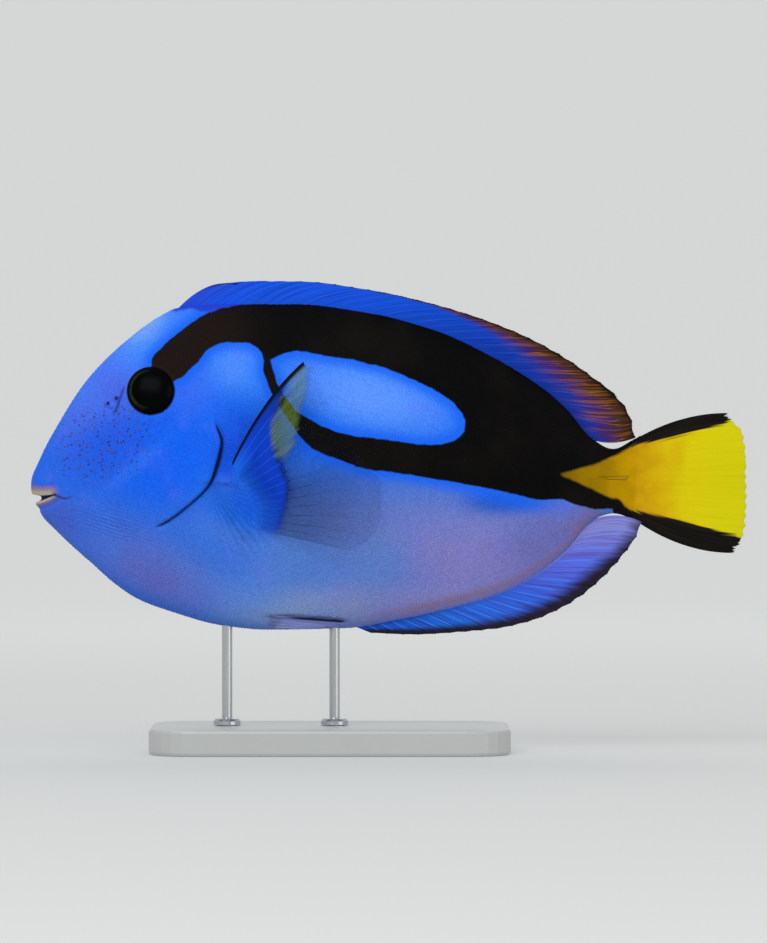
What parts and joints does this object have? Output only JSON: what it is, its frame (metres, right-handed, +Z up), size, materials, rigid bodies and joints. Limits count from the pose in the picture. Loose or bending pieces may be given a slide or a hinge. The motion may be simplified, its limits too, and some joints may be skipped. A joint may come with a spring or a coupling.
{
  "type": "regal blue tang",
  "caption": "Life-size model of a regal blue tang, a deep oval surgeonfish with a blade beside its tail, held level by two rods on a flat base.",
  "frame": {"origin": "on the floor, under the middle of the fish's length and width", "axes": "+X towards the tail, +Y towards the fish's right side, +Z up; the picture's camera looks along +Y"},
  "size_m": [0.2201, 0.07, 0.1444],
  "materials": {
    "blue_skin": "satin royal blue skin with black bands",
    "eye": "wet black eye",
    "blue_fin": "satin blue web with dark rays",
    "yellow_fin": "satin yellow web with black edges",
    "pectoral_fin": "satin, clear towards the margin",
    "pelvic_fin": "satin violet blue",
    "bone": "smooth bone",
    "stand_paint": "smooth pale grey paint",
    "stand_steel": "fine brushed steel"
  },
  "bodies": {
    "root": {"head": "blue_skin", "trunk": "blue_skin", "tail_stalk": "blue_skin", "eye_left": "eye", "eye_right": "eye", "dorsal_fin": "blue_fin", "anal_fin": "blue_fin", "caudal_fin": "yellow_fin", "pectoral_fin_left": "pectoral_fin", "pectoral_fin_right": "pectoral_fin", "pelvic_fin_left": "pelvic_fin", "pelvic_fin_right": "pelvic_fin", "tail_spine_left": "bone", "tail_spine_right": "bone", "stand_base": "stand_paint", "stand_rod_front": "stand_steel", "stand_rod_rear": "stand_steel"}
  },
  "joints": []
}
